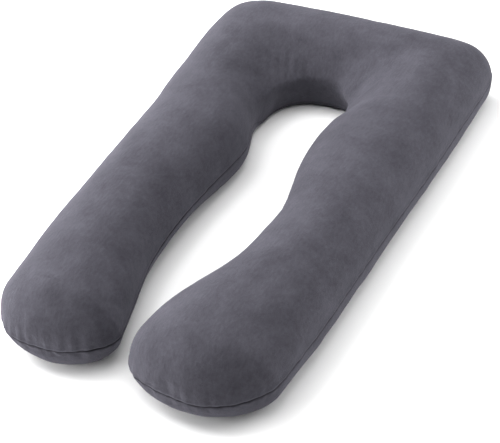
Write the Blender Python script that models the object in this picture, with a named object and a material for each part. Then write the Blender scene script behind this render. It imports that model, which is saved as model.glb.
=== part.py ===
# Full-length U-shaped body pillow: filled cloth, lying on one face.
# Two panels meet in one plain seam that runs right round the edge, a little under half way up.
# +Y is the closed head end, the two legs point to -Y, and the floor is z = 0.

import math

import bpy
import numpy as np

# Driving sizes, in metres.
seamHeight = 0.0855        # seam above the floor
crownHeight = 0.1257       # top of the crown above the seam
crownTilt = 0.0125         # the head end is fuller than the leg ends by this much in each metre
holeSeamDrop = 0.026       # the seam is drawn down by this much at the back of the head hole,
innerSeamDrop = 0.005      # by this much along the legs' inner sides
endSeamDrop = 0.004        # and by this much at the tips of the legs
topSquareness = 2.18       # 2 is an elliptical section, more is a fuller one
bottomSquareness = 2.6
tuckSquareness = 1.8       # underside of the legs' inner sides, which turns in closely under the seam
tuckFullY = -0.12          # the tuck is full from the leg ends up to here
tuckEndY = 0.06            # and gone from here on
tuckEndShare = 0.28        # it fades out over this share of the way round each leg end
restShare = 0.31           # share of the half width that lies flat on the floor

headEndY = 0.717           # closed end of the seam outline
headEndTilt = 0.012        # its left half lies this much further out, its right half this much further in
headEndCrown = 0.003       # its middle bows out by this much
leftCorner = 0.131         # corner reach at the closed end
rightCorner = 0.087
cornerSquareness = 2.8

holeBackY = 0.456          # back of the head hole
holeCornerShare = 0.27     # the pillow's corners are stuffed out from this far round the hole
holeEase = 0.11            # the hole's wall comes in gradually over this share of its length
holeEvenness = 0.3         # 0 is the same wall all round the hole, 1 fades it evenly to both sides
holeSquareness = 2.1
leftTipY = -0.701          # tips of the two legs
rightTipY = -0.721
legEndFullness = 0.57      # 0.55 is a plain half ellipse

grooveDepth = 0.003        # how far the seam sinks between its two lips
lipHeight = 0.010          # each lip stands this far above or below the seam
puckerDepth = 0.003        # gathers across the seam round the leg ends
puckerPitch = 0.052
puckerReach = 0.035        # they fade out over this height

# Outer edge of the seam line, from the leg ends to the corners.
outerSides = [
    # y, left x, right x
    (-0.595, -0.342, 0.387),
    (-0.450, -0.357, 0.397),
    (-0.250, -0.367, 0.403),
    (-0.050, -0.377, 0.407),
    (0.150, -0.388, 0.4135),
    (0.350, -0.404, 0.4165),
    (0.590, -0.418, 0.418),
]

# Inner edge of the seam line, one row for each width of the gap between the legs.
innerSides = [
    # y, left x, right x
    (-0.595, -0.020, 0.030),   # leg ends nearly meet
    (-0.480, -0.052, 0.053),
    (-0.360, -0.084, 0.113),
    (-0.240, -0.098, 0.140),   # room for the belly
    (-0.100, -0.098, 0.143),
    (0.030, -0.089, 0.114),
    (0.140, -0.084, 0.100),    # neck
    (0.240, -0.110, 0.113),
    (0.330, -0.127, 0.119),    # sides of the head hole
]

# Section of the top panel at the back of the head hole: a nearly upright wall under a tight rim.
# One row for each ring, from the crown down to the upper lip of the seam.
holeSection = [
    # share of the half width, share of the height
    (0.27, 0.950),
    (0.50, 0.842),
    (0.70, 0.708),
    (0.87, 0.580),
    (1.00, 0.468),
    (1.050, 0.415),    # rim
    (1.078, 0.330),
    (1.085, 0.180),    # wall, standing a little proud of the seam
    (1.04, 0.055),
]

# Mesh steps.
legSteps = 24
headSideSteps = 5
cornerSteps = 8
headEndSteps = 14
legEndSteps = 50
holeSteps = 40
topAngles = [76, 62, 49, 37, 27, 19, 12, 7]    # degrees round the section, from the crown to the upper lip
bottomAngles = [-14, -25, -38, -54, -72, -90]  # from the lower lip to the part that lies flat

clothColour = (0.165, 0.160, 0.190, 1.0)
clothRoughness = 0.95


def clearScene():
    for item in list(bpy.data.objects):
        bpy.data.objects.remove(item, do_unlink=True)


def smoothEdge(rows, column, ys):
    # Cubic curve through a table's points, free at the leg end and square to the head at the other.
    y = np.array([row[0] for row in rows])
    x = np.array([row[column] for row in rows])
    gap = np.diff(y)
    rise = np.diff(x) / gap
    count = len(y)
    system = np.zeros((count, count))
    target = np.zeros(count)
    system[0, 0] = 1.0
    for i in range(1, count - 1):
        system[i, i - 1] = gap[i - 1]
        system[i, i] = 2.0 * (gap[i - 1] + gap[i])
        system[i, i + 1] = gap[i]
        target[i] = 6.0 * (rise[i] - rise[i - 1])
    system[-1, -2] = gap[-1]
    system[-1, -1] = 2.0 * gap[-1]
    target[-1] = -6.0 * rise[-1]
    bend = np.linalg.solve(system, target)
    ys = np.asarray(ys, dtype=float)
    i = np.clip(np.searchsorted(y, ys) - 1, 0, count - 2)
    past = ys - y[i]
    left = y[i + 1] - ys
    curve = (bend[i] * left ** 3 + bend[i + 1] * past ** 3) / (6.0 * gap[i])
    line = (x[i] / gap[i] - bend[i] * gap[i] / 6.0) * left
    line += (x[i + 1] / gap[i] - bend[i + 1] * gap[i] / 6.0) * past
    return np.column_stack([curve + line, ys])


def roundedArc(centre, reach, start, end, steps, squareness):
    # Arc of a super-ellipse, angles in degrees.
    turn = np.radians(np.linspace(start, end, steps + 1))
    power = 2.0 / squareness
    x = centre[0] + reach[0] * np.sign(np.cos(turn)) * np.abs(np.cos(turn)) ** power
    y = centre[1] + reach[1] * np.sign(np.sin(turn)) * np.abs(np.sin(turn)) ** power
    return np.column_stack([x, y])


def shareAlong(points):
    steps = np.linalg.norm(np.diff(points, axis=0), axis=1)
    length = np.concatenate([[0.0], np.cumsum(steps)])
    return length / length[-1]


def softStep(share):
    # Eases from 0 to 1.
    share = np.clip(share, 0.0, 1.0)
    return share ** 2 * (3.0 - 2.0 * share)


def headOutline():
    # Outer edge over the head end, left to right, and the shares of its length at the corners and the middle.
    startY = innerSides[-1][0]
    leftX = outerSides[-1][1]
    rightX = outerSides[-1][2]
    leftY = headEndY + headEndTilt - leftCorner
    rightY = headEndY - headEndTilt - rightCorner
    leftSide = smoothEdge(outerSides, 1, np.linspace(startY, outerSides[-1][0], headSideSteps + 1)[:-1])
    rightSide = smoothEdge(outerSides, 2, np.linspace(outerSides[-1][0], startY, headSideSteps + 1)[1:])
    leftBend = roundedArc((leftX + leftCorner, leftY), (leftCorner, leftCorner), 180, 90,
                          cornerSteps, cornerSquareness)
    rightBend = roundedArc((rightX - rightCorner, rightY), (rightCorner, rightCorner), 90, 0,
                           cornerSteps, cornerSquareness)
    across = np.linspace(0.0, 1.0, headEndSteps + 2)[1:-1]
    endX = leftBend[-1, 0] + (rightBend[0, 0] - leftBend[-1, 0]) * across
    endY = leftBend[-1, 1] + (rightBend[0, 1] - leftBend[-1, 1]) * across
    endY = endY + headEndCrown * np.sin(np.pi * across)
    outline = np.vstack([leftSide, leftBend, np.column_stack([endX, endY]), rightBend, rightSide])
    share = shareAlong(outline)
    leftMiddle = share[headSideSteps + cornerSteps // 2]
    rightMiddle = share[-1 - headSideSteps - cornerSteps // 2]
    headMiddle = 0.5 * (share[headSideSteps + cornerSteps] + share[-1 - headSideSteps - cornerSteps])
    marks = [0.0, leftMiddle, headMiddle, rightMiddle, 1.0]
    return outline, np.interp(share, marks, [0.0, holeCornerShare, 0.5, 1.0 - holeCornerShare, 1.0])


def holeOutline(shares):
    # Back of the head hole, left to right, at the given shares of its length.
    startY, leftX, rightX = innerSides[-1]
    middle = 0.5 * (leftX + rightX)
    reach = (0.5 * (rightX - leftX), holeBackY - startY)
    arc = roundedArc((middle, startY), reach, 180, 0, holeSteps, holeSquareness)
    along = shareAlong(arc)
    return np.column_stack([np.interp(shares, along, arc[:, 0]), np.interp(shares, along, arc[:, 1])])


def wallShare(shares):
    # How much of the head hole's wall shows at each share of its length: all of it at the back, none at its sides.
    arch = np.clip(np.sin(np.pi * shares), 0.0, 1.0) ** holeEvenness
    return arch * softStep(np.minimum(shares, 1.0 - shares) / holeEase)


def quarterBend(start, startArm, end, endArm, steps):
    # Cubic bend from one point to another, leaving and arriving along the given arms.
    t = np.linspace(0.0, 1.0, steps + 1)[:, None]
    first = start + startArm
    second = end - endArm
    return (1 - t) ** 3 * start + 3 * (1 - t) ** 2 * t * first + 3 * (1 - t) * t ** 2 * second + t ** 3 * end


def legEnd(leftRows, leftColumn, rightRows, rightColumn, tipY):
    # Rounded end of one leg, from its right side round to its left side, smooth with both of them.
    baseY = leftRows[0][0]
    probe = [baseY, baseY + 0.001]
    left, leftUp = smoothEdge(leftRows, leftColumn, probe)
    right, rightUp = smoothEdge(rightRows, rightColumn, probe)
    reach = (baseY - tipY) * legEndFullness
    leftArm = (left - leftUp) / 0.001 * reach
    rightArm = (right - rightUp) / 0.001 * reach
    halfWidth = 0.5 * (right[0] - left[0])
    tip = np.array([0.5 * (left[0] + right[0]) + 0.3 * (leftArm[0] + rightArm[0]), tipY])
    across = np.array([-halfWidth * legEndFullness, 0.0])
    steps = legEndSteps // 2
    firstHalf = quarterBend(right, rightArm, tip, across, steps)
    secondHalf = quarterBend(tip, across, left, -leftArm, steps)
    bend = np.vstack([firstHalf, secondHalf[1:]])
    run = np.concatenate([[0.0], np.cumsum(np.linalg.norm(np.diff(bend, axis=0), axis=1))])
    return bend[1:-1], run[1:-1], run[-1]


def seamStations():
    # The seam line as one closed loop. Each point has its height, the spot on the middle line that it is
    # stuffed out from, and how much it belongs to the head hole's wall, the tuck and a leg end's gathers.
    legY = np.linspace(innerSides[0][0], innerSides[-1][0], legSteps + 1)
    head, shares = headOutline()
    hole = holeOutline(shares)
    outer = np.vstack([smoothEdge(outerSides, 1, legY)[:-1], head, smoothEdge(outerSides, 2, legY)[::-1][1:]])
    inner = np.vstack([smoothEdge(innerSides, 1, legY)[:-1], hole, smoothEdge(innerSides, 2, legY)[::-1][1:]])
    middle = 0.5 * (outer + inner)
    holeShare = np.zeros(len(outer))
    holeShare[legSteps:legSteps + len(head)] = wallShare(shares)
    rightEnd, rightRun, rightLength = legEnd(innerSides, 2, outerSides, 2, rightTipY)
    leftEnd, leftRun, leftLength = legEnd(outerSides, 1, innerSides, 1, leftTipY)
    count = len(outer)
    endCount = len(rightEnd)
    rightInner = softStep((rightRun / rightLength - 1.0) / tuckEndShare + 1.0)
    leftInner = softStep(1.0 - leftRun / leftLength / tuckEndShare)
    innerShare = np.concatenate([np.zeros(count), rightInner, 1.0 - holeShare[::-1], leftInner])
    rim = np.vstack([outer, rightEnd, inner[::-1], leftEnd])
    wall = np.concatenate([np.zeros(count + endCount), holeShare[::-1], np.zeros(endCount)])
    gather = np.concatenate([np.zeros(count), np.sin(np.pi * rightRun / rightLength),
                             np.zeros(count), np.sin(np.pi * leftRun / leftLength)])
    drop = holeSeamDrop * wall + innerSeamDrop * innerShare + endSeamDrop * gather
    return {
        "rim": rim,
        "seamZ": seamHeight - drop,
        "tuck": innerShare * softStep((tuckEndY - rim[:, 1]) / (tuckEndY - tuckFullY)),
        "core": middle,
        "crown": seamHeight + crownHeight + crownTilt * middle[:, 1],
        "coreOf": np.concatenate([np.arange(count), np.full(endCount, count - 1),
                                  np.arange(count)[::-1], np.zeros(endCount, dtype=int)]),
        "hole": wall,
        "run": np.concatenate([np.zeros(count), rightRun, np.zeros(count), leftRun]),
        "gather": gather,
    }


def puckerPull(stations, height):
    # Uneven gathers across the seam, strongest at the seam and at the tip of each leg.
    wave = 0.6 * np.cos(2.0 * np.pi * stations["run"] / puckerPitch)
    wave += 0.4 * np.cos(2.0 * np.pi * stations["run"] / (1.7 * puckerPitch) + 1.0)
    fade = np.exp(-(height / puckerReach) ** 2)
    return puckerDepth * np.sqrt(stations["gather"]) * fade * (0.5 + 0.5 * wave)


def sectionRing(stations, angle, holeRow=None, pull=0.0):
    # One ring of points round the pillow, at an angle round its section: 90 at the crown, -90 on the floor.
    underside = bottomSquareness + (tuckSquareness - bottomSquareness) * stations["tuck"]
    power = 2.0 / (topSquareness if angle >= 0 else underside)
    turn = math.radians(abs(angle))
    up = math.sin(turn) ** power
    out = max(math.cos(turn), 0.0) ** power
    hole = stations["hole"]
    core = stations["core"][stations["coreOf"]]
    seamZ = stations["seamZ"]
    if angle >= 0:
        if holeRow:
            up = up + (holeRow[1] - up) * hole
            out = out + (holeRow[0] - out) * hole
        height = seamZ + (stations["crown"][stations["coreOf"]] - seamZ) * up
    else:
        out = restShare + (1.0 - restShare) * out
        height = seamZ * (1.0 - up)
    arm = stations["rim"] - core
    width = np.linalg.norm(arm, axis=1)
    spread = out - (pull + puckerPull(stations, height - seamZ)) / width
    return np.column_stack([core + arm * spread[:, None], height])


def lipAngle(height):
    # Angle round the section at which the cloth is this far above (or below) the seam.
    span = crownHeight if height > 0 else seamHeight
    squareness = topSquareness if height > 0 else bottomSquareness
    turn = math.degrees(math.asin((abs(height) / span) ** (squareness / 2.0)))
    return math.copysign(turn, height)


def buildPillow(material):
    stations = seamStations()
    angles = topAngles + [lipAngle(lipHeight)]
    rings = [sectionRing(stations, angle, row) for angle, row in zip(angles, holeSection)]
    rings.append(sectionRing(stations, 0, pull=grooveDepth))
    angles = [lipAngle(-lipHeight)] + bottomAngles
    rings += [sectionRing(stations, angle) for angle in angles]
    around = len(stations["rim"])
    core = stations["core"]
    ringPoints = np.vstack(rings)
    topCore = np.column_stack([core, stations["crown"]])
    floorCore = np.column_stack([core, np.zeros(len(core))])
    points = np.vstack([ringPoints, topCore, floorCore])
    points[:, :2] -= 0.5 * (points[:, :2].min(axis=0) + points[:, :2].max(axis=0))
    topStart = len(ringPoints)
    floorStart = topStart + len(core)
    lastRing = (len(rings) - 1) * around
    coreOf = stations["coreOf"]
    faces = []
    for j in range(around):
        k = (j + 1) % around
        for ring in range(len(rings) - 1):
            a = ring * around
            b = a + around
            faces.append((a + j, a + k, b + k, b + j))
        cj = int(coreOf[j])
        ck = int(coreOf[k])
        if cj == ck:
            faces.append((topStart + cj, k, j))
            faces.append((lastRing + j, lastRing + k, floorStart + cj))
        else:
            faces.append((topStart + cj, topStart + ck, k, j))
            faces.append((lastRing + j, lastRing + k, floorStart + ck, floorStart + cj))
    mesh = bpy.data.meshes.new("pillow")
    mesh.from_pydata([tuple(point) for point in points.tolist()], [], faces)
    mesh.validate()
    mesh.materials.append(material)
    mesh.shade_smooth()
    pillow = bpy.data.objects.new("pillow", mesh)
    bpy.context.scene.collection.objects.link(pillow)
    return pillow


def velourMaterial():
    material = bpy.data.materials.new("velour")
    material.use_nodes = True
    shader = material.node_tree.nodes["Principled BSDF"]
    shader.inputs["Base Color"].default_value = clothColour
    shader.inputs["Roughness"].default_value = clothRoughness
    shader.inputs["Metallic"].default_value = 0.0
    material.diffuse_color = clothColour
    return material


clearScene()
buildPillow(velourMaterial())
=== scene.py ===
import math

import bpy
import numpy as np
from mathutils import Matrix, Vector, noise


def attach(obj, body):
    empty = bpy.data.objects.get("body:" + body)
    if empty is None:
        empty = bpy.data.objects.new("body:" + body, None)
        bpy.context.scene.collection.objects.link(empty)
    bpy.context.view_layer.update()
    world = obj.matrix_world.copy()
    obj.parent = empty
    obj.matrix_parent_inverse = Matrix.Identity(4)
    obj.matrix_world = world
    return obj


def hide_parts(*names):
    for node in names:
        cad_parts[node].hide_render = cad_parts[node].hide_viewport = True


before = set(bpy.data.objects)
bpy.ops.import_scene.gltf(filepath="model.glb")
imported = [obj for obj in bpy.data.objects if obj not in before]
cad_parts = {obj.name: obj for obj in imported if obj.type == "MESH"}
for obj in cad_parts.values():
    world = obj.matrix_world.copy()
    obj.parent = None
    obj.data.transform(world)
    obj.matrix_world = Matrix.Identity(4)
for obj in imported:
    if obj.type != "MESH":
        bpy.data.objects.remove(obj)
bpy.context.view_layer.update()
print("frame loaded, nodes:", ", ".join(sorted(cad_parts)))


# Camera, at the photograph's angle

cameraShot = {
    "azimuth": 32.037,       # degrees round to the right of the front
    "elevation": 39.19,
    "roll": -7.125,
    "distance": 3.3319,      # metres from the target
    "target": (0.0645, -0.1253, 0.0767),
    "lens": 96.575,
    "sensorWidth": 36.0,
}


def placeCamera():
    az, el, roll = (math.radians(cameraShot[key]) for key in ("azimuth", "elevation", "roll"))
    back = Vector((math.sin(az) * math.cos(el), -math.cos(az) * math.cos(el), math.sin(el)))
    right = Vector((math.cos(az), math.sin(az), 0.0))
    up = back.cross(right)
    tiltedRight = right * math.cos(roll) + up * math.sin(roll)
    tiltedUp = up * math.cos(roll) - right * math.sin(roll)
    pose = Matrix((tiltedRight, tiltedUp, back)).transposed().to_4x4()
    pose.translation = Vector(cameraShot["target"]) + back * cameraShot["distance"]
    camera = bpy.data.objects.new("camera", bpy.data.cameras.new("camera"))
    camera.data.lens = cameraShot["lens"]
    camera.data.sensor_width = cameraShot["sensorWidth"]
    camera.matrix_world = pose
    bpy.context.scene.collection.objects.link(camera)
    bpy.context.scene.camera = camera


# Pillow shape: two panels of velour, sewn together in one seam round the edge, turned and filled

pillowShape = {
    "seamHeight": 0.0855,
    "crownHeight": 0.1257,       # above the seam
    "crownTilt": 0.0125,         # fuller toward the head end
    "topSquareness": 2.18,       # 2 is an elliptical section
    "bottomSquareness": 2.6,
    "tuckSquareness": 1.8,       # the legs' inner sides turn in closely under the seam
    "tuckFullY": -0.12,          # fully so from here to the leg ends,
    "tuckEndY": 0.06,            # and not at all from here to the head
    "tipSquareness": 2.1,        # of the underside at the tips of the legs
    "tuckEndShare": 0.28,        # how far the tuck reaches round a leg end
    "restShare": 0.31,           # share of the half width that lies flat
    "headEndY": 0.717,
    "headEndTilt": 0.012,
    "headEndCrown": 0.003,
    "leftCorner": 0.131,
    "rightCorner": 0.087,
    "cornerSquareness": 2.8,
    "holeBackY": 0.484,
    "holeCornerShare": 0.27,
    "holeSquareness": 2.5,
    "wallUnderside": 3.0,        # squareness of the foot of the hole's wall
    "wallStartY": 0.21,          # the head hole's upright wall comes in from here
    "wallFullY": 0.37,
    "holeSeamDrop": 0.068,       # how far the seam is drawn down in the hole
    "innerSeamDrop": 0.005,      # and along the legs' inner sides
    "endSeamDrop": 0.004,        # and at the tips of the legs
    "leftTipY": -0.701,
    "rightTipY": -0.721,
    "tipLean": 0.171,            # how far the tip follows the way the leg points
    "leftEndFullness": (0.62, 0.43),     # of the leg end's left and right half
    "rightEndFullness": (0.64, 0.47),
    "outerSides": [              # y, left x, right x
        (-0.595, -0.342, 0.387),
        (-0.450, -0.357, 0.397),
        (-0.250, -0.367, 0.403),
        (-0.050, -0.377, 0.407),
        (0.150, -0.388, 0.4135),
        (0.350, -0.404, 0.4165),
        (0.590, -0.418, 0.418),
    ],
    "innerSides": [
        (-0.595, -0.020, 0.030),
        (-0.480, -0.052, 0.053),
        (-0.360, -0.084, 0.113),
        (-0.240, -0.098, 0.140),
        (-0.100, -0.098, 0.143),
        (0.030, -0.089, 0.114),
        (0.140, -0.084, 0.100),
        (0.240, -0.117, 0.110),
        (0.330, -0.144, 0.136),
    ],
    "holeSection": [             # degrees round the section, share of width, share of height
        (90.0, 0.00, 1.00),
        (76.0, 0.31, 0.958),
        (62.0, 0.55, 0.864),
        (49.0, 0.77, 0.748),
        (37.0, 0.97, 0.622),
        (29.0, 1.09, 0.538),
        (23.0, 1.155, 0.478),
        (18.0, 1.170, 0.410),    # rim of the head hole
        (14.0, 1.160, 0.335),
        (9.0, 1.11, 0.220),
        (4.5, 1.05, 0.105),
        (0.0, 1.00, 0.00),
    ],
}

# Mesh steps for the stuffing simulation. The finished cover has twice as many each way.
meshSteps = {
    "leg": 64,
    "headSide": 18,
    "corner": 14,
    "headEnd": 38,
    "legEnd": 40,
    "hole": 160,                 # of the hole's curve, before the stations are spaced along it
    "topAngles": [85, 79, 72, 65, 58, 51, 45, 39, 33, 28, 24, 20.5, 17.5, 14.5, 11, 7.5],
    "nearSeam": [0.0145, 0.0090, 0.0045],       # metres above and below the seam
    "bottomAngles": [-14, -20, -27, -36, -47, -60, -74, -90],
}


def smoothEdge(rows, column, ys):
    # cubic curve through a table, free at the leg end and square to the head at the other
    y = np.array([row[0] for row in rows])
    x = np.array([row[column] for row in rows])
    gap = np.diff(y)
    rise = np.diff(x) / gap
    count = len(y)
    system = np.zeros((count, count))
    target = np.zeros(count)
    system[0, 0] = 1.0
    for i in range(1, count - 1):
        system[i, i - 1] = gap[i - 1]
        system[i, i] = 2.0 * (gap[i - 1] + gap[i])
        system[i, i + 1] = gap[i]
        target[i] = 6.0 * (rise[i] - rise[i - 1])
    system[-1, -2] = gap[-1]
    system[-1, -1] = 2.0 * gap[-1]
    target[-1] = -6.0 * rise[-1]
    bend = np.linalg.solve(system, target)
    ys = np.asarray(ys, dtype=float)
    i = np.clip(np.searchsorted(y, ys) - 1, 0, count - 2)
    past = ys - y[i]
    left = y[i + 1] - ys
    curve = (bend[i] * left ** 3 + bend[i + 1] * past ** 3) / (6.0 * gap[i])
    line = (x[i] / gap[i] - bend[i] * gap[i] / 6.0) * left
    line += (x[i + 1] / gap[i] - bend[i + 1] * gap[i] / 6.0) * past
    return np.column_stack([curve + line, ys])


def roundedArc(centre, reach, start, end, steps, squareness):
    # part of a rounded square, from one turn in degrees to another
    turn = np.radians(np.linspace(start, end, steps + 1))
    power = 2.0 / squareness
    x = centre[0] + reach[0] * np.sign(np.cos(turn)) * np.abs(np.cos(turn)) ** power
    y = centre[1] + reach[1] * np.sign(np.sin(turn)) * np.abs(np.sin(turn)) ** power
    return np.column_stack([x, y])


def runAlong(points):
    return np.concatenate([[0.0], np.cumsum(np.linalg.norm(np.diff(points, axis=0), axis=1))])


def headOutline(fine):
    # the closed head end from left to right, and how far round the hole each point belongs
    shape = pillowShape
    sideSteps, cornerSteps = meshSteps["headSide"] * fine, meshSteps["corner"] * fine
    endSteps = (meshSteps["headEnd"] + 1) * fine - 1
    startY = shape["innerSides"][-1][0]
    lastY, leftX, rightX = shape["outerSides"][-1]
    leftReach, rightReach = shape["leftCorner"], shape["rightCorner"]
    leftY = shape["headEndY"] + shape["headEndTilt"] - leftReach
    rightY = shape["headEndY"] - shape["headEndTilt"] - rightReach
    leftSide = smoothEdge(shape["outerSides"], 1, np.linspace(startY, lastY, sideSteps + 1)[:-1])
    rightSide = smoothEdge(shape["outerSides"], 2, np.linspace(lastY, startY, sideSteps + 1)[1:])
    squareness = shape["cornerSquareness"]
    leftBend = roundedArc((leftX + leftReach, leftY), (leftReach, leftReach),
                          180, 90, cornerSteps, squareness)
    rightBend = roundedArc((rightX - rightReach, rightY), (rightReach, rightReach),
                           90, 0, cornerSteps, squareness)
    across = np.linspace(0.0, 1.0, endSteps + 2)[1:-1, None]
    end = leftBend[-1] + (rightBend[0] - leftBend[-1]) * across
    end[:, 1] += shape["headEndCrown"] * np.sin(np.pi * across[:, 0])
    outline = np.vstack([leftSide, leftBend, end, rightBend, rightSide])
    share = runAlong(outline) / runAlong(outline)[-1]
    leftMiddle = share[sideSteps + cornerSteps // 2]
    rightMiddle = share[-1 - sideSteps - cornerSteps // 2]
    headMiddle = 0.5 * (share[sideSteps + cornerSteps] + share[-1 - sideSteps - cornerSteps])
    corner = shape["holeCornerShare"]
    shares = np.interp(share, [0.0, leftMiddle, headMiddle, rightMiddle, 1.0],
                       [0.0, corner, 0.5, 1.0 - corner, 1.0])
    return outline, shares


def holeOutline(shares):
    # the back of the head hole, with a point for each share of the way round it
    startY, leftX, rightX = pillowShape["innerSides"][-1]
    reach = (0.5 * (rightX - leftX), pillowShape["holeBackY"] - startY)
    arc = roundedArc((0.5 * (leftX + rightX), startY), reach,
                     180, 0, meshSteps["hole"], pillowShape["holeSquareness"])
    along = runAlong(arc) / runAlong(arc)[-1]
    return np.column_stack([np.interp(shares, along, arc[:, 0]), np.interp(shares, along, arc[:, 1])])


def softStep(share):
    share = np.clip(share, 0.0, 1.0)
    return share ** 2 * (3.0 - 2.0 * share)


def wallShare(y):
    # how much of the head hole's upright wall there is: none along the legs, all of it at the back
    start, full = pillowShape["wallStartY"], pillowShape["wallFullY"]
    return softStep((y - start) / (full - start))


def quarterBend(start, startArm, end, endArm, steps):
    t = np.linspace(0.0, 1.0, steps + 1)[:, None]
    first, second = start + startArm, end - endArm
    return ((1 - t) ** 3 * start + 3 * (1 - t) ** 2 * t * first
            + 3 * (1 - t) * t ** 2 * second + t ** 3 * end)


def legEnd(leftRows, leftColumn, rightRows, rightColumn, tipY, fullness, steps):
    # rounded end of one leg, from its right side round to its left side
    baseY = leftRows[0][0]
    probeStep = 0.001        # metres, to see which way the leg's sides point
    probe = [baseY, baseY + probeStep]
    left, leftUp = smoothEdge(leftRows, leftColumn, probe)
    right, rightUp = smoothEdge(rightRows, rightColumn, probe)
    reach = baseY - tipY
    leftArm = (left - leftUp) / probeStep * reach
    rightArm = (right - rightUp) / probeStep * reach
    halfWidth = 0.5 * (right[0] - left[0])
    lean = pillowShape["tipLean"] * (leftArm[0] + rightArm[0])
    tip = np.array([0.5 * (left[0] + right[0]) + lean, tipY])
    across = np.array([-halfWidth, 0.0])
    leftShare, rightShare = fullness
    half = steps // 2
    bend = np.vstack([quarterBend(right, rightArm * rightShare, tip, across * rightShare, half),
                      quarterBend(tip, across * leftShare, left, -leftArm * leftShare, half)[1:]])
    run = runAlong(bend)
    return bend[1:-1], run[1:-1], run[-1]


def seamLine(fine):
    # the seam as one closed loop, with the spot on the middle line that each point belongs to
    shape = pillowShape
    outerRows, innerRows = shape["outerSides"], shape["innerSides"]
    legSteps, endSteps = meshSteps["leg"] * fine, meshSteps["legEnd"] * fine
    legY = np.linspace(innerRows[0][0], innerRows[-1][0], legSteps + 1)
    head, shares = headOutline(fine)
    outer = np.vstack([smoothEdge(outerRows, 1, legY)[:-1], head,
                       smoothEdge(outerRows, 2, legY)[::-1][1:]])
    inner = np.vstack([smoothEdge(innerRows, 1, legY)[:-1], holeOutline(shares),
                       smoothEdge(innerRows, 2, legY)[::-1][1:]])
    middle = 0.5 * (outer + inner)
    hole = wallShare(inner[:, 1])
    rightEnd, rightRun, rightLength = legEnd(innerRows, 2, outerRows, 2, shape["rightTipY"],
                                             shape["rightEndFullness"], endSteps)
    leftEnd, leftRun, leftLength = legEnd(outerRows, 1, innerRows, 1, shape["leftTipY"],
                                          shape["leftEndFullness"], endSteps)
    count, endCount = len(outer), len(rightEnd)
    rim = np.vstack([outer, rightEnd, inner[::-1], leftEnd])
    wall = np.concatenate([np.zeros(count + endCount), hole[::-1], np.zeros(endCount)])
    rightInner = softStep((rightRun / rightLength - 1.0) / shape["tuckEndShare"] + 1.0)
    leftInner = softStep(1.0 - leftRun / leftLength / shape["tuckEndShare"])
    innerShare = np.concatenate([np.zeros(count), rightInner, 1.0 - hole[::-1], leftInner])
    gather = np.concatenate([np.zeros(count), np.sin(np.pi * rightRun / rightLength),
                             np.zeros(count), np.sin(np.pi * leftRun / leftLength)])
    drop = (shape["holeSeamDrop"] * wall + shape["innerSeamDrop"] * innerShare
            + shape["endSeamDrop"] * gather)
    tuckLength = shape["tuckEndY"] - shape["tuckFullY"]
    centre = 0.5 * (rim.min(axis=0) + rim.max(axis=0))
    return {
        "rim": rim - centre,
        "core": middle - centre,
        "crown": shape["seamHeight"] + shape["crownHeight"] + shape["crownTilt"] * middle[:, 1],
        "seamZ": shape["seamHeight"] - drop,
        "tuck": innerShare * softStep((shape["tuckEndY"] - rim[:, 1]) / tuckLength),
        "coreOf": np.concatenate([np.arange(count), np.full(endCount, count - 1),
                                  np.arange(count)[::-1], np.zeros(endCount, dtype=int)]),
        "hole": wall,
        "side": np.repeat(["outer", "rightEnd", "inner", "leftEnd"],
                          [count, endCount, count, endCount]),
        "run": np.concatenate([np.zeros(count), rightRun, np.zeros(count), leftRun]),
        "gather": gather,
    }


def seamAngle(height):
    # angle round the section at which the cloth stands this far above or below the seam
    above = height > 0
    span = pillowShape["crownHeight"] if above else pillowShape["seamHeight"]
    squareness = pillowShape["topSquareness"] if above else pillowShape["bottomSquareness"]
    return math.copysign(math.degrees(math.asin((abs(height) / span) ** (squareness / 2.0))), height)


def sectionAngles(fine):
    near = [seamAngle(height) for height in meshSteps["nearSeam"]]
    nearBelow = [seamAngle(-height) for height in reversed(meshSteps["nearSeam"])]
    angles = [90.0] + meshSteps["topAngles"] + near + [0.0] + nearBelow + meshSteps["bottomAngles"]
    angles = np.array(angles, dtype=float)
    if fine == 2:
        middle = 0.5 * (angles[1:] + angles[:-1])
        angles = np.sort(np.concatenate([angles, middle]))[::-1]
    return angles


def holeShape(angle):
    # smooth curve through the head hole's section table
    table = np.array(pillowShape["holeSection"])[::-1]
    slope = np.gradient(table[:, 1:], table[:, 0], axis=0)
    i = int(np.clip(np.searchsorted(table[:, 0], angle) - 1, 0, len(table) - 2))
    gap = table[i + 1, 0] - table[i, 0]
    t = (angle - table[i, 0]) / gap
    start, end = table[i, 1:], table[i + 1, 1:]
    return ((1 + 2 * t) * (1 - t) ** 2 * start + t * (1 - t) ** 2 * gap * slope[i]
            + t ** 2 * (3 - 2 * t) * end + t ** 2 * (t - 1) * gap * slope[i + 1])


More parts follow.
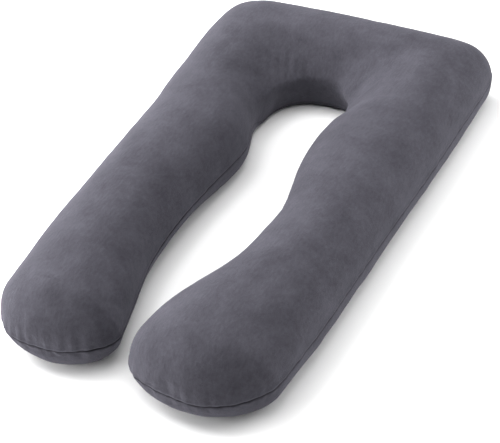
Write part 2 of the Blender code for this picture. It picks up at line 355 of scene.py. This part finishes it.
def sectionGrid(line, angles):
    # every point of the cover: one row for each angle, crown first and floor last
    shape = pillowShape
    hole, seamZ = line["hole"], line["seamZ"]
    core = line["core"][line["coreOf"]]
    crown = line["crown"][line["coreOf"]]
    plain = shape["bottomSquareness"]
    underside = plain + (shape["tuckSquareness"] - plain) * line["tuck"]
    underside = underside + (shape["wallUnderside"] - underside) * hole
    atTips = np.minimum(shape["tipSquareness"], underside)
    underside = underside + (atTips - underside) * line["gather"]
    grid = np.zeros((len(angles), len(core), 3))
    for row, angle in enumerate(angles):
        power = 2.0 / (shape["topSquareness"] if angle >= 0 else underside)
        turn = math.radians(abs(angle))
        up = min(math.sin(turn), 1.0) ** power
        out = max(math.cos(turn), 0.0) ** power if abs(angle) < 90 else 0.0
        if angle >= 0:
            holeOut, holeUp = holeShape(angle)
            up = up + (holeUp - up) * hole
            out = out + (holeOut - out) * hole
            height = seamZ + (crown - seamZ) * up
        else:
            out = shape["restShare"] + (1.0 - shape["restShare"]) * out
            height = seamZ * (1.0 - up)
        grid[row, :, :2] = core + (line["rim"] - core) * np.broadcast_to(out, hole.shape)[:, None]
        grid[row, :, 2] = height
    return grid


def coverMesh(name, line, grid):
    # the top row's points are shared along the middle line, and so is one more row on the floor
    around = grid.shape[1]
    coreOf = line["coreOf"]
    coreCount = len(line["core"])
    rings = grid[1:].reshape(-1, 3)
    topCore = np.column_stack([line["core"], grid[0, :coreCount, 2]])
    floorCore = np.column_stack([line["core"], np.zeros(coreCount)])
    points = np.vstack([rings, topCore, floorCore])
    topStart = len(rings)
    floorStart = topStart + coreCount
    ringCount = grid.shape[0] - 1
    now = np.arange(around)
    after = np.roll(now, -1)
    faces = []
    for ring in range(ringCount - 1):
        a, b = ring * around, (ring + 1) * around
        faces += np.column_stack([a + now, a + after, b + after, b + now]).tolist()
    last = (ringCount - 1) * around
    for j, k in zip(now.tolist(), after.tolist()):
        cj, ck = int(coreOf[j]), int(coreOf[k])
        if cj == ck:
            faces.append((topStart + cj, k, j))
            faces.append((last + j, last + k, floorStart + cj))
        else:
            faces.append((topStart + cj, topStart + ck, k, j))
            faces.append((last + j, last + k, floorStart + ck, floorStart + cj))
    mesh = bpy.data.meshes.new(name)
    mesh.from_pydata(points.tolist(), [], faces)
    mesh.validate()
    mesh.shade_smooth()
    cover = bpy.data.objects.new(name, mesh)
    bpy.context.scene.collection.objects.link(cover)
    return cover


# Stuffing: cloth simulation fills the cover out with its seam thread drawn tight. The shape above is
# a full pillow already, so only the folds that form are kept.

stuffing = {
    "pressure": 4.0,
    "frames": 20,
    "quality": 6,
    "clothMass": 0.25,
    "tension": 90.0,             # higher is firmer
    "compressionShare": 0.6,     # of the tension
    "shearShare": 0.4,
    "bending": 3.0,
    "airDamping": 4,
    "seamShrink": 0.03,          # how much the seam thread draws the edge in
    "foldWidth": 8,              # what is wider than this many mesh steps is swelling, not a fold
    "foldShare": 0.10,           # share of the folds that stays on the long, well filled stretches
    "mostMove": 0.004,           # no point moves further than this
}


def stuffedMove(line, angles):
    # how far the stuffing moves each point, with the floor's rows held and the seam shrinking
    grid = sectionGrid(line, angles)
    cover = coverMesh("stuffing", line, grid)
    around = grid.shape[1]
    seamRow = int(np.argmin(np.abs(angles)))
    seamGroup = cover.vertex_groups.new(name="seam")
    seamGroup.add([(seamRow - 1) * around + j for j in range(around)], 1.0, "REPLACE")
    holdGroup = cover.vertex_groups.new(name="hold")
    floorCount = len(line["core"])
    total = len(cover.data.vertices)
    holdGroup.add(list(range(total - floorCount, total)), 1.0, "REPLACE")
    holdGroup.add([(grid.shape[0] - 2) * around + j for j in range(around)], 1.0, "REPLACE")
    modifier = cover.modifiers.new("cloth", "CLOTH")
    cloth = modifier.settings
    cloth.quality = stuffing["quality"]
    cloth.mass = stuffing["clothMass"]
    cloth.tension_stiffness = stuffing["tension"]
    cloth.compression_stiffness = stuffing["tension"] * stuffing["compressionShare"]
    cloth.shear_stiffness = stuffing["tension"] * stuffing["shearShare"]
    cloth.bending_stiffness = stuffing["bending"]
    cloth.air_damping = stuffing["airDamping"]
    cloth.use_pressure = True
    cloth.uniform_pressure_force = stuffing["pressure"]
    cloth.vertex_group_mass = "hold"
    cloth.vertex_group_shrink = "seam"
    cloth.shrink_min = 0.0
    cloth.shrink_max = stuffing["seamShrink"]
    cloth.effector_weights.gravity = 0.0
    modifier.collision_settings.use_collision = False
    scene = bpy.context.scene
    scene.frame_start, scene.frame_end = 1, stuffing["frames"]
    for number in range(1, stuffing["frames"] + 1):
        scene.frame_set(number)
    bpy.context.view_layer.objects.active = cover
    bpy.ops.object.modifier_apply(modifier="cloth")
    scene.frame_set(1)
    points = np.zeros(total * 3)
    cover.data.vertices.foreach_get("co", points)
    points = points.reshape(-1, 3)
    bpy.data.objects.remove(cover, do_unlink=True)
    ringCount = grid.shape[0] - 1
    stuffed = np.zeros_like(grid)
    stuffed[1:] = points[:ringCount * around].reshape(ringCount, around, 3)
    topStart = ringCount * around
    stuffed[0] = points[topStart:topStart + floorCount][line["coreOf"]]
    move = stuffed - grid
    mostly = np.percentile(np.linalg.norm(move, axis=2), [50, 95, 100]) * 1000
    print("stuffing moved the cover by", np.round(mostly, 1), "mm")
    return move


def blurRound(values, reach):
    # running average round the loop, three times over
    for _ in range(3):
        total = sum(np.roll(values, shift, axis=1) for shift in range(-reach, reach + 1))
        values = total / (2 * reach + 1)
    return values


def foldsOnly(move):
    # the move without its even swelling, kept small
    move = move - blurRound(move, stuffing["foldWidth"])
    length = np.linalg.norm(move, axis=2, keepdims=True)
    most = stuffing["mostMove"]
    return move * (most * np.tanh(length / most) / np.maximum(length, 1e-9))


def doubled(values):
    # twice as many rows and stations, smooth in between
    before, after, later = np.roll(values, 1, 1), np.roll(values, -1, 1), np.roll(values, -2, 1)
    between = (9.0 * (values + after) - before - later) / 16.0
    wide = np.stack([values, between], axis=2).reshape(values.shape[0], -1, values.shape[2])
    tall = np.zeros((2 * wide.shape[0] - 1,) + wide.shape[1:])
    tall[::2] = wide
    tall[1::2] = 0.5 * (wide[1:] + wide[:-1])
    return tall


# Sewing: the seam, the gathers round the leg ends and the drag folds at the head hole

sewing = {
    "grooveDepth": 0.0028,
    "grooveWidth": 0.0016,
    "upperLip": 0.0016,
    "lowerLip": 0.0007,
    "lipWidth": 0.0045,
    "lipPlace": 1.3,             # lip widths from the seam to the middle of a lip
    "holeSeamShare": 0.2,        # of the seam's relief is left in the head hole, where it is shut
    "holeSeamShadeNarrowing": 2.5,         # and how much its painted seam shade narrows there
    "seamWander": 0.0008,        # the seam isn't dead level
    "wanderSize": 0.16,
    "wanderReach": 0.03,
    "wanderSeed": 1.7,
    "edgePucker": 0.0016,        # small ripples where the thread pulls, all round
    "puckerSize": 0.022,
    "puckerStretch": (1.0, 1.0, 0.3),
    "puckerReach": 0.012,
    "puckerSeed": 5.7,
    "softDents": 0.0028,
    "dentSizes": (0.12, 0.045),
    "dentShares": (0.7, 0.35),
    "dentSeeds": (3.1, 8.4),
    "dentReach": 0.03,           # dents end this near the seam, and all relief this near the floor
    "gatherDepth": 0.0029,
    "gatherWidth": 0.0075,
    "gatherStart": 0.0045,       # the thread holds the seam smooth, folds open this far from it
    "gatherWidths": (0.8, 1.25),
    "gatherSlants": (-0.2, 0.2),
    "gatherSeed": 7,
    "belowShare": 0.6,           # length of a gather below the seam, against above it
    "ridgeShare": 0.45,          # height of the ridges beside a fold, against its depth
    "ridgePlace": 1.9,           # and how many fold widths they lie from its middle
    "dragDepth": 0.0016,
    "dragWidth": 0.0075,
    "dragMiddle": 0.45,          # where along its length a drag fold is deepest
    "dragReach": 0.5,
    "dragStart": 0.02,           # no drag folds lower than this above the seam
    "rightGathers": [            # place along the leg end from its right side, strength, length
        (0.018, 0.4, 0.030), (0.040, 0.6, 0.035), (0.070, 0.4, 0.030), (0.099, 0.6, 0.040),
        (0.135, 0.7, 0.042), (0.167, 0.8, 0.046), (0.206, 0.5, 0.040), (0.235, 0.9, 0.044),
        (0.265, 0.9, 0.040), (0.290, 0.4, 0.030), (0.314, 0.7, 0.040), (0.352, 0.5, 0.032),
        (0.385, 0.5, 0.030), (0.420, 0.3, 0.025),
    ],
    "leftGathers": [
        (0.016, 0.5, 0.034), (0.042, 0.5, 0.030), (0.072, 0.4, 0.030), (0.105, 1.1, 0.046),
        (0.139, 0.6, 0.040), (0.172, 0.5, 0.045), (0.193, 0.6, 0.040), (0.241, 0.9, 0.050),
        (0.270, 0.5, 0.035), (0.300, 0.6, 0.032), (0.330, 0.4, 0.030), (0.360, 0.3, 0.025),
    ],
    "drags": [                   # folds that run up from the rim of the head hole: from, to, strength
        ((-0.150, 0.370), (-0.171, 0.438), 0.7),
        ((-0.139, 0.394), (-0.162, 0.466), 1.0),
        ((-0.121, 0.418), (-0.145, 0.484), 0.8),
        ((-0.102, 0.431), (-0.120, 0.494), 1.0),
        ((-0.078, 0.442), (-0.091, 0.484), 0.6),
        ((-0.056, 0.454), (-0.070, 0.482), 0.5),
        ((-0.175, 0.305), (-0.186, 0.373), 0.5),
        ((0.106, 0.414), (0.150, 0.461), 0.8),
        ((0.140, 0.376), (0.186, 0.430), 0.6),
        ((0.075, 0.443), (0.102, 0.490), 0.5),
        ((-0.040, -0.552), (-0.066, -0.608), 1.0),
        ((-0.034, -0.584), (-0.058, -0.632), 0.8),
    ],
}


def foldShape(away):
    # a soft valley with a low ridge on both sides
    ridges = np.exp(-(np.abs(away) - sewing["ridgePlace"]) ** 2)
    return np.exp(-away ** 2) - sewing["ridgeShare"] * ridges


def gatherFolds(line, height):
    # gathers across the seam round both leg ends, where a curved edge is sewn to a fuller panel
    rng = np.random.default_rng(sewing["gatherSeed"])
    depth = np.zeros_like(height)
    for side, gathers in (("rightEnd", "rightGathers"), ("leftEnd", "leftGathers")):
        members = np.flatnonzero(line["side"] == side)
        up = height[:, members]
        opening = 1.0 - np.exp(-(up / sewing["gatherStart"]) ** 2)
        for place, strength, length in sewing[gathers]:
            reach = np.where(up > 0, length, sewing["belowShare"] * length)
            width = sewing["gatherWidth"] * rng.uniform(*sewing["gatherWidths"])
            slant = rng.uniform(*sewing["gatherSlants"])
            away = (line["run"][members][None, :] - place - slant * up) / width
            depth[:, members] += strength * foldShape(away) * opening * np.exp(-(up / reach) ** 2)
    return depth * sewing["gatherDepth"]


def dragFolds(grid, height):
    # each one fades in from the rim and out toward the crown
    depth = np.zeros_like(height)
    plan = grid[:, :, :2]
    for start, end, strength in sewing["drags"]:
        start, end = np.array(start), np.array(end)
        length = np.linalg.norm(end - start)
        along = (end - start) / length
        share = ((plan - start) @ along) / length
        away = np.abs((plan - start) @ np.array([-along[1], along[0]])) / sewing["dragWidth"]
        fade = np.exp(-((share - sewing["dragMiddle"]) / sewing["dragReach"]) ** 4)
        depth += strength * foldShape(away) * fade * (height > sewing["dragStart"])
    return depth * sewing["dragDepth"]


def seamProfile(height):
    # a narrow groove with a soft lip above and below it
    lip = sewing["lipWidth"]
    place = sewing["lipPlace"] * lip
    groove = -sewing["grooveDepth"] * np.exp(-(height / sewing["grooveWidth"]) ** 2)
    upper = sewing["upperLip"] * np.exp(-((height - place) / lip) ** 2)
    lower = sewing["lowerLip"] * np.exp(-((height + place) / lip) ** 2)
    return groove + upper + lower


def faceNormals(grid):
    # outward direction of the cloth at each grid point
    down = np.gradient(grid, axis=0)
    sideways = 0.5 * (np.roll(grid, -1, 1) - np.roll(grid, 1, 1))
    normal = np.cross(sideways, down)
    length = np.linalg.norm(normal, axis=2, keepdims=True)
    return normal / np.maximum(length, 1e-12)


def dentNoise(points, size, seed):
    flat = points.reshape(-1, 3) / size + seed
    return np.array([noise.noise(Vector(point)) for point in flat.tolist()]).reshape(points.shape[:2])


def sewnRelief(line, grid, height):
    # how far the cloth stands out, from dents, ripples, folds and the seam itself
    rest = np.clip(grid[:, :, 2] / sewing["dentReach"], 0.0, 1.0)
    away = np.clip(np.abs(height) / sewing["dentReach"], 0.0, 1.0)
    (broad, small), (broadSize, smallSize) = sewing["dentShares"], sewing["dentSizes"]
    broadSeed, smallSeed = sewing["dentSeeds"]
    dents = (broad * dentNoise(grid, broadSize, broadSeed)
             + small * dentNoise(grid, smallSize, smallSeed))
    offset = dents * sewing["softDents"] * away * rest
    ripple = dentNoise(grid * sewing["puckerStretch"], sewing["puckerSize"], sewing["puckerSeed"])
    offset += ripple * sewing["edgePucker"] * np.exp(-(height / sewing["puckerReach"]) ** 2)
    offset -= (gatherFolds(line, height) + dragFolds(grid, height)) * rest
    offset += seamProfile(height) * (1.0 - (1.0 - sewing["holeSeamShare"]) * line["hole"])
    return offset


def buildCover():
    fineLine, fineAngles = seamLine(2), sectionAngles(2)
    grid = sectionGrid(fineLine, fineAngles)
    move = doubled(foldsOnly(stuffedMove(seamLine(1), sectionAngles(1))))
    least = stuffing["foldShare"]
    share = least + (1.0 - least) * np.sqrt(np.clip(fineLine["gather"], 0.0, 1.0))
    grid = grid + move * share[None, :, None]
    height = grid[:, :, 2] - fineLine["seamZ"][None, :]
    normal = faceNormals(grid)
    normal[0] = (0.0, 0.0, 1.0)
    offset = sewnRelief(fineLine, grid, height)
    wander = dentNoise(grid * [1.0, 1.0, 0.0], sewing["wanderSize"], sewing["wanderSeed"])
    wander = wander * np.exp(-(height / sewing["wanderReach"]) ** 2)
    grid = grid + normal * offset[:, :, None]
    grid[:, :, 2] += wander * sewing["seamWander"]
    grid[:, :, 2] = np.maximum(grid[:, :, 2], 0.0)
    grid[-1, :, 2] = 0.0
    cover = coverMesh("pillowCover", fineLine, grid)
    # height above the seam, for the painted seam shade and lip highlight, narrowed in the head hole
    nearSeam = cover.data.attributes.new("nearSeam", "FLOAT", "POINT")
    shut = 1.0 + sewing["holeSeamShadeNarrowing"] * fineLine["hole"]
    values = np.full(len(cover.data.vertices), 1.0)
    values[:(grid.shape[0] - 1) * grid.shape[1]] = (height * shut)[1:].reshape(-1)
    nearSeam.data.foreach_set("value", values)
    print("cover built:", len(cover.data.vertices), "points")
    return cover


# Velour: short crushed pile on a knitted back

velourLook = {
    "dark": (0.0285, 0.0274, 0.0345),
    "light": (0.0585, 0.0568, 0.0690),
    "darkAt": 0.36,              # shares of the nap that are dark and light
    "lightAt": 0.64,
    "strokes": (13.0, 0.49),     # scale and weight of the broad strokes,
    "marks": (75.0, 0.28),       # the short brush marks
    "pile": (400.0, 0.23),       # and the pile itself
    "markStretch": (2.0, 1.0, 1.4),
    # painted shade down in the seam's groove, and a painted highlight along its upper lip
    "seamPaintedShade": 0.50,
    "lipPaintedHighlight": 1.20,
    "seamReach": 0.012,          # metres above and below the seam that get the painted shade and highlight
    "roughness": (0.85, 0.98),
    "specular": 0.08,
    "sheen": 0.105,
    "sheenRoughness": 0.6,
    "sheenTint": (0.86, 0.84, 1.0),
    "knitSize": 0.0016,
    "pileBump": (0.50, 0.0012),  # strength and depth
    "markBump": (0.30, 0.004),
    "knitBump": (0.20, 0.0004),
}


def addNode(tree, kind, place, values=None, **settings):
    node = tree.nodes.new(kind)
    node.location = place
    for key, value in settings.items():
        setattr(node, key, value)
    for key, value in (values or {}).items():
        node.inputs[key].default_value = value
    return node


def addBump(tree, place, bump, height, normal=None):
    node = addNode(tree, "ShaderNodeBump", place, {"Strength": bump[0], "Distance": bump[1]})
    tree.links.new(height, node.inputs["Height"])
    if normal:
        tree.links.new(normal, node.inputs["Normal"])
    return node.outputs["Normal"]


def napNodes(tree, coords):
    # how far the pile lies over, from three sizes of brushing
    look, link = velourLook, tree.links.new
    (strokeScale, strokeWeight), (markScale, markWeight) = look["strokes"], look["marks"]
    pileScale, pileWeight = look["pile"]
    strokes = addNode(tree, "ShaderNodeTexNoise", (-1100, 300),
                      {"Scale": strokeScale, "Detail": 5.0, "Roughness": 0.62, "Distortion": 0.3})
    link(coords.outputs["Object"], strokes.inputs["Vector"])
    stretch = addNode(tree, "ShaderNodeMapping", (-1300, 0), {"Scale": look["markStretch"]})
    link(coords.outputs["Object"], stretch.inputs["Vector"])
    marks = addNode(tree, "ShaderNodeTexNoise", (-1100, 0),
                    {"Scale": markScale, "Detail": 4.0, "Roughness": 0.6})
    link(stretch.outputs["Vector"], marks.inputs["Vector"])
    pile = addNode(tree, "ShaderNodeTexNoise", (-1100, -300),
                   {"Scale": pileScale, "Detail": 2.0, "Roughness": 0.6})
    link(stretch.outputs["Vector"], pile.inputs["Vector"])
    broad = addNode(tree, "ShaderNodeMath", (-850, 200), {1: strokeWeight}, operation="MULTIPLY")
    link(strokes.outputs["Fac"], broad.inputs[0])
    withMarks = addNode(tree, "ShaderNodeMath", (-700, 150), {1: markWeight}, operation="MULTIPLY_ADD")
    link(marks.outputs["Fac"], withMarks.inputs[0])
    link(broad.outputs[0], withMarks.inputs[2])
    nap = addNode(tree, "ShaderNodeMath", (-550, 100), {1: pileWeight}, operation="MULTIPLY_ADD")
    link(pile.outputs["Fac"], nap.inputs[0])
    link(withMarks.outputs[0], nap.inputs[2])
    return nap, marks, pile


def seamShadeNodes(tree):
    # painted shade down in the seam, and a painted highlight along its upper lip
    look, link = velourLook, tree.links.new
    seam = addNode(tree, "ShaderNodeAttribute", (-1100, 600), attribute_name="nearSeam")
    share = addNode(tree, "ShaderNodeMapRange", (-900, 600),
                    {"From Min": -look["seamReach"], "From Max": look["seamReach"]})
    link(seam.outputs["Fac"], share.inputs["Value"])
    shade = addNode(tree, "ShaderNodeValToRGB", (-700, 600))
    link(share.outputs[0], shade.inputs["Fac"])
    ramp = shade.color_ramp
    ramp.elements[0].position, ramp.elements[0].color = 0.0, (1, 1, 1, 1)
    ramp.elements[1].position, ramp.elements[1].color = 1.0, (1, 1, 1, 1)
    stops = ((0.36, 1.0), (0.46, look["seamPaintedShade"]), (0.54, look["seamPaintedShade"]),
             (0.64, look["lipPaintedHighlight"]), (0.80, 1.06))
    for place, value in stops:
        stop = ramp.elements.new(place)
        stop.color = (value, value, value, 1.0)
    return shade


def velourMaterial():
    look = velourLook
    material = bpy.data.materials.new("velour")
    material.use_nodes = True
    tree = material.node_tree
    link = tree.links.new
    shader = tree.nodes["Principled BSDF"]
    shader.inputs["Sheen Weight"].default_value = look["sheen"]
    shader.inputs["Sheen Roughness"].default_value = look["sheenRoughness"]
    shader.inputs["Sheen Tint"].default_value = look["sheenTint"] + (1.0,)
    shader.inputs["Specular IOR Level"].default_value = look["specular"]
    coords = addNode(tree, "ShaderNodeTexCoord", (-1500, 0))
    nap, marks, pile = napNodes(tree, coords)
    colour = addNode(tree, "ShaderNodeValToRGB", (-380, 200))
    colour.color_ramp.elements[0].position = look["darkAt"]
    colour.color_ramp.elements[0].color = look["dark"] + (1.0,)
    colour.color_ramp.elements[1].position = look["lightAt"]
    colour.color_ramp.elements[1].color = look["light"] + (1.0,)
    link(nap.outputs[0], colour.inputs["Fac"])
    shaded = addNode(tree, "ShaderNodeMix", (-150, 300), {"Factor": 1.0},
                     data_type="RGBA", blend_type="MULTIPLY")
    link(colour.outputs["Color"], shaded.inputs["A"])
    link(seamShadeNodes(tree).outputs["Color"], shaded.inputs["B"])
    link(shaded.outputs["Result"], shader.inputs["Base Color"])
    smooth, rough = look["roughness"]
    roughness = addNode(tree, "ShaderNodeMapRange", (-380, -50),
                        {"From Min": 0.35, "From Max": 0.65, "To Min": smooth, "To Max": rough})
    link(nap.outputs[0], roughness.inputs["Value"])
    link(roughness.outputs[0], shader.inputs["Roughness"])
    # knitted ribs under the pile
    ribs = addNode(tree, "ShaderNodeTexWave", (-1100, -600),
                   {"Scale": 1.0 / (look["knitSize"] * 20.0), "Distortion": 1.5,
                    "Detail": 2.0, "Detail Scale": 3.0}, wave_type="BANDS", bands_direction="X")
    link(coords.outputs["Object"], ribs.inputs["Vector"])
    pileBump = addBump(tree, (-380, -300), look["pileBump"], pile.outputs["Fac"])
    markBump = addBump(tree, (-200, -350), look["markBump"], marks.outputs["Fac"], pileBump)
    knitBump = addBump(tree, (-50, -400), look["knitBump"], ribs.outputs["Fac"], markBump)
    link(knitBump, shader.inputs["Normal"])
    return material


# Studio: pale round floor and soft light, most of it from the left

studio = {
    "floorRadius": 3.2,
    "floorSides": 96,
    "floorColour": (0.92, 0.92, 0.92),
    "floorRoughness": 0.9,
    "sky": 0.01,
    "backdrop": 1.0,             # pale background below the horizon, fading into the sky above it
    "backdropFade": (0.01, 0.08),
    "lights": [                  # degrees clockwise from the back, degrees up, metres off, size, watts
        ("leftSoft", 270, 28, 4.0, 3.0, 258),
        ("leftHighSoft", 270, 58, 4.0, 3.0, 116),
        ("frontLeftSoft", 225, 12, 4.0, 3.0, 212),
        ("backRightSoft", 45, 12, 4.0, 3.0, 150),
        ("rightHighSoft", 90, 58, 4.0, 3.0, 62),
        ("overheadSoft", 0, 89, 4.0, 3.0, 110),
    ],
}


def buildWorld(scene):
    world = bpy.data.worlds.new("studio")
    world.use_nodes = True
    tree = world.node_tree
    low, high = studio["backdropFade"]
    coords = addNode(tree, "ShaderNodeTexCoord", (-700, 0))
    split = addNode(tree, "ShaderNodeSeparateXYZ", (-500, 0))
    fade = addNode(tree, "ShaderNodeMapRange", (-300, 0),
                   {"From Min": low, "From Max": high,
                    "To Min": studio["backdrop"], "To Max": studio["sky"]})
    tree.links.new(coords.outputs["Generated"], split.inputs["Vector"])
    tree.links.new(split.outputs["Z"], fade.inputs["Value"])
    tree.links.new(fade.outputs[0], tree.nodes["Background"].inputs["Strength"])
    tree.nodes["Background"].inputs["Color"].default_value = (1.0, 1.0, 1.0, 1.0)
    scene.world = world


def addSoftbox(scene, name, turn, rise, distance, size, watts):
    turn, rise = math.radians(turn), math.radians(rise)
    toward = Vector((math.sin(turn) * math.cos(rise), math.cos(turn) * math.cos(rise), math.sin(rise)))
    softbox = bpy.data.lights.new(name, "AREA")
    softbox.energy = watts
    softbox.size = size
    lamp = bpy.data.objects.new(name, softbox)
    lamp.location = toward * distance
    lamp.rotation_euler = (-toward).to_track_quat("-Z", "Y").to_euler()
    scene.collection.objects.link(lamp)


def buildStudio():
    scene = bpy.context.scene
    buildWorld(scene)
    for light in studio["lights"]:
        addSoftbox(scene, *light)
    sides = studio["floorSides"]
    turns = np.linspace(0.0, 2.0 * np.pi, sides, endpoint=False)
    edge = studio["floorRadius"] * np.column_stack([np.cos(turns), np.sin(turns), np.zeros(sides)])
    mesh = bpy.data.meshes.new("floor")
    mesh.from_pydata(edge.tolist(), [], [list(range(sides))])
    floor = bpy.data.objects.new("floor", mesh)
    scene.collection.objects.link(floor)
    paper = bpy.data.materials.new("whitePaper")
    paper.use_nodes = True
    shader = paper.node_tree.nodes["Principled BSDF"]
    shader.inputs["Base Color"].default_value = studio["floorColour"] + (1.0,)
    shader.inputs["Roughness"].default_value = studio["floorRoughness"]
    shader.inputs["Specular IOR Level"].default_value = 0.0
    floor.data.materials.append(paper)
    scene.view_settings.view_transform = "Standard"


placeCamera()
print("camera placed")
cover = buildCover()
cover.data.materials.append(velourMaterial())
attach(cover, "root")
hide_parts("pillow")
buildStudio()
print("studio lit")
